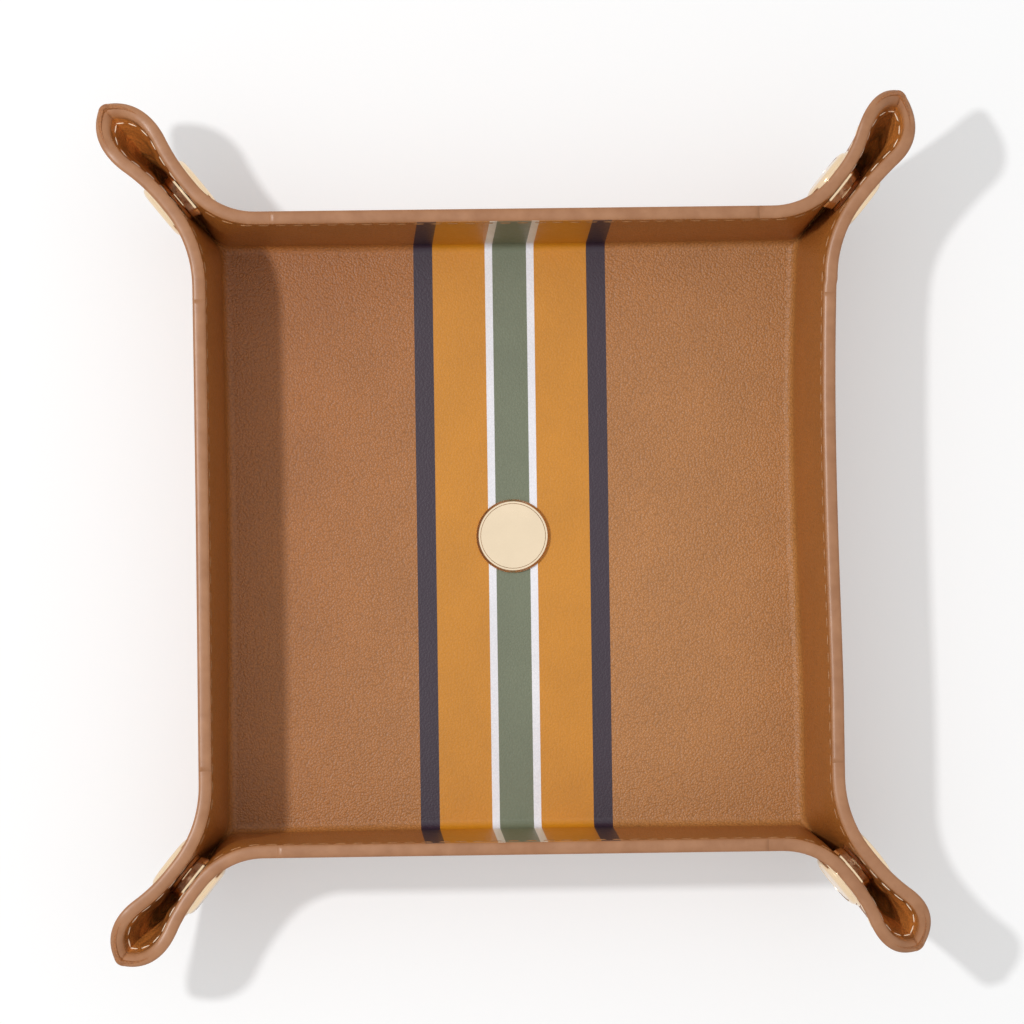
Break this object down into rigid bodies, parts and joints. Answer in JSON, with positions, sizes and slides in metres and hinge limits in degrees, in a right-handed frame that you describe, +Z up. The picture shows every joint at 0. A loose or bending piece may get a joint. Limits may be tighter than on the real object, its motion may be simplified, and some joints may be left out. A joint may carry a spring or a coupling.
{
  "type": "valet tray",
  "caption": "Square leather valet tray with pinched, press-studded corners that open so that the walls fold down flat.",
  "frame": {"origin": "centre of the tray's floor, on the table it stands on", "axes": "+Z up; the colour stripes run along Y, north wall towards +Y and east wall towards +X"},
  "size_m": [0.1818, 0.1896, 0.04],
  "materials": {
    "lining_leather": "pebbled leather with painted stripes",
    "outer_leather": "pebbled leather",
    "board": "bonded leather board, matt",
    "snap_metal": "polished pale gold plating",
    "medallion_metal": "satin pale gold",
    "washer_steel": "plain"
  },
  "bodies": {
    "floor": {"floor_outer": "outer_leather", "floor_lining": "lining_leather", "floor_board": "board", "medallion": "medallion_metal", "medallion_washer": "washer_steel"},
    "north_wall": {"north_wall_lining": "lining_leather", "north_wall_board": "board", "north_wall_outer": "outer_leather"},
    "ne_ear_north": {"ne_ear_north_lining": "lining_leather", "ne_ear_north_outer": "outer_leather", "ne_ear_north_cap": "snap_metal", "ne_ear_north_socket": "snap_metal"},
    "nw_ear_north": {"nw_ear_north_lining": "lining_leather", "nw_ear_north_outer": "outer_leather", "nw_ear_north_cap": "snap_metal", "nw_ear_north_socket": "snap_metal"},
    "south_wall": {"south_wall_lining": "lining_leather", "south_wall_board": "board", "south_wall_outer": "outer_leather"},
    "sw_ear_south": {"sw_ear_south_lining": "lining_leather", "sw_ear_south_outer": "outer_leather", "sw_ear_south_cap": "snap_metal", "sw_ear_south_socket": "snap_metal"},
    "se_ear_south": {"se_ear_south_lining": "lining_leather", "se_ear_south_outer": "outer_leather", "se_ear_south_cap": "snap_metal", "se_ear_south_socket": "snap_metal"},
    "east_wall": {"east_wall_lining": "lining_leather", "east_wall_board": "board", "east_wall_outer": "outer_leather"},
    "se_ear_east": {"se_ear_east_lining": "lining_leather", "se_ear_east_outer": "outer_leather", "se_ear_east_cap": "snap_metal", "se_ear_east_stud": "snap_metal"},
    "ne_ear_east": {"ne_ear_east_lining": "lining_leather", "ne_ear_east_outer": "outer_leather", "ne_ear_east_cap": "snap_metal", "ne_ear_east_stud": "snap_metal"},
    "west_wall": {"west_wall_lining": "lining_leather", "west_wall_board": "board", "west_wall_outer": "outer_leather"},
    "nw_ear_west": {"nw_ear_west_lining": "lining_leather", "nw_ear_west_outer": "outer_leather", "nw_ear_west_cap": "snap_metal", "nw_ear_west_stud": "snap_metal"},
    "sw_ear_west": {"sw_ear_west_lining": "lining_leather", "sw_ear_west_outer": "outer_leather", "sw_ear_west_cap": "snap_metal", "sw_ear_west_stud": "snap_metal"}
  },
  "joints": [
    {"name": "north_wall_fold", "type": "hinge", "parent": "floor", "child": "north_wall", "pos_m": [0, 0.0673, 0.001], "axis": [-1, 0, 0], "range_deg": [0, 77]},
    {"name": "ne_ear_north_bend", "type": "hinge", "parent": "north_wall", "child": "ne_ear_north", "pos_m": [0.06425, 0.06575, 0.0034], "axis": [-0.0471, -0.112, -0.9926], "range_deg": [0, 45.78]},
    {"name": "nw_ear_north_bend", "type": "hinge", "parent": "north_wall", "child": "nw_ear_north", "pos_m": [-0.06425, 0.06575, 0.0034], "axis": [-0.0471, 0.112, 0.9926], "range_deg": [0, 45.78]},
    {"name": "south_wall_fold", "type": "hinge", "parent": "floor", "child": "south_wall", "pos_m": [0, -0.0673, 0.001], "axis": [1, 0, 0], "range_deg": [0, 77]},
    {"name": "sw_ear_south_bend", "type": "hinge", "parent": "south_wall", "child": "sw_ear_south", "pos_m": [-0.06425, -0.06575, 0.0034], "axis": [0.0471, 0.112, -0.9926], "range_deg": [0, 45.78]},
    {"name": "se_ear_south_bend", "type": "hinge", "parent": "south_wall", "child": "se_ear_south", "pos_m": [0.06425, -0.06575, 0.0034], "axis": [0.0471, -0.112, 0.9926], "range_deg": [0, 45.78]},
    {"name": "east_wall_fold", "type": "hinge", "parent": "floor", "child": "east_wall", "pos_m": [0.0661, 0, 0.001], "axis": [0, 1, 0], "range_deg": [0, 77]},
    {"name": "se_ear_east_bend", "type": "hinge", "parent": "east_wall", "child": "se_ear_east", "pos_m": [0.06452, -0.06485, 0.0034], "axis": [-0.1384, 0.012, -0.9903], "range_deg": [0, 35.79]},
    {"name": "ne_ear_east_bend", "type": "hinge", "parent": "east_wall", "child": "ne_ear_east", "pos_m": [0.06452, 0.06485, 0.0034], "axis": [0.1384, 0.012, 0.9903], "range_deg": [0, 35.79]},
    {"name": "west_wall_fold", "type": "hinge", "parent": "floor", "child": "west_wall", "pos_m": [-0.0661, 0, 0.001], "axis": [0, -1, 0], "range_deg": [0, 77]},
    {"name": "nw_ear_west_bend", "type": "hinge", "parent": "west_wall", "child": "nw_ear_west", "pos_m": [-0.06452, 0.06485, 0.0034], "axis": [0.1384, -0.012, -0.9903], "range_deg": [0, 35.79]},
    {"name": "sw_ear_west_bend", "type": "hinge", "parent": "west_wall", "child": "sw_ear_west", "pos_m": [-0.06452, -0.06485, 0.0034], "axis": [-0.1384, -0.012, 0.9903], "range_deg": [0, 35.79]}
  ],
  "couplings": [
    {"joint": "ne_ear_north_bend", "follows": "north_wall_fold", "ratio": 0.59454},
    {"joint": "nw_ear_north_bend", "follows": "north_wall_fold", "ratio": 0.59454},
    {"joint": "south_wall_fold", "follows": "north_wall_fold", "ratio": 1},
    {"joint": "sw_ear_south_bend", "follows": "north_wall_fold", "ratio": 0.59454},
    {"joint": "se_ear_south_bend", "follows": "north_wall_fold", "ratio": 0.59454},
    {"joint": "east_wall_fold", "follows": "north_wall_fold", "ratio": 1},
    {"joint": "se_ear_east_bend", "follows": "north_wall_fold", "ratio": 0.46474},
    {"joint": "ne_ear_east_bend", "follows": "north_wall_fold", "ratio": 0.46474},
    {"joint": "west_wall_fold", "follows": "north_wall_fold", "ratio": 1},
    {"joint": "nw_ear_west_bend", "follows": "north_wall_fold", "ratio": 0.46474},
    {"joint": "sw_ear_west_bend", "follows": "north_wall_fold", "ratio": 0.46474}
  ]
}
